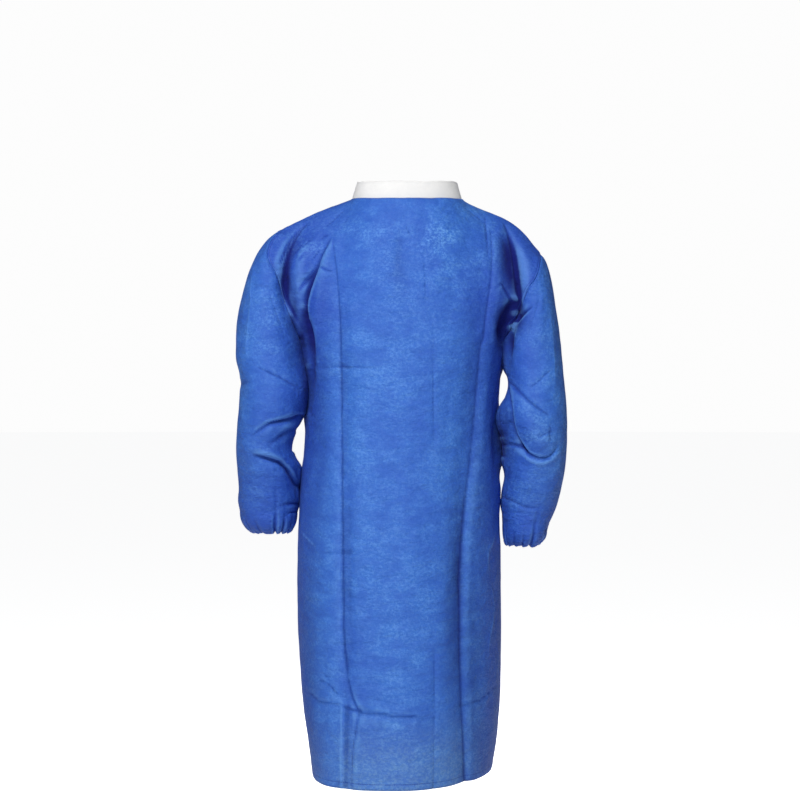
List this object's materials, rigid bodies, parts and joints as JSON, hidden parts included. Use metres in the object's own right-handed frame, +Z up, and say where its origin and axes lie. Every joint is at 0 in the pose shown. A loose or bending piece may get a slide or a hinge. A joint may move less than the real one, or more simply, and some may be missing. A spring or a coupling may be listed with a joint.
{
  "type": "disposable lab coat",
  "caption": "Worn, hollow long-sleeved disposable coat of blue nonwoven cloth with a white stand collar, gathered elastic cuffs and a snapped front.",
  "frame": {"origin": "the middle of the neck opening, level with the points where the neck edge meets the shoulder seams; the coat is held up there by the wearer's neck and shoulders", "axes": "+Z up, the fronts face -Y, +X is the wearer's left"},
  "size_m": [0.6113, 0.3388, 1.091],
  "materials": {
    "blue_nonwoven": "semi-matte embossed spunbonded cloth",
    "white_knit": "matte soft cloth",
    "snap_plastic": "satin white"
  },
  "bodies": {
    "root": {"back": "blue_nonwoven", "front_left": "blue_nonwoven", "front_right": "blue_nonwoven", "sleeve_left": "blue_nonwoven", "sleeve_right": "blue_nonwoven", "cuff_left": "blue_nonwoven", "cuff_right": "blue_nonwoven", "collar": "white_knit", "snap_cap_1": "snap_plastic", "snap_stud_1": "snap_plastic", "snap_cap_2": "snap_plastic", "snap_stud_2": "snap_plastic", "snap_cap_3": "snap_plastic", "snap_stud_3": "snap_plastic", "snap_cap_4": "snap_plastic", "snap_stud_4": "snap_plastic", "snap_cap_5": "snap_plastic", "snap_stud_5": "snap_plastic"}
  },
  "joints": []
}
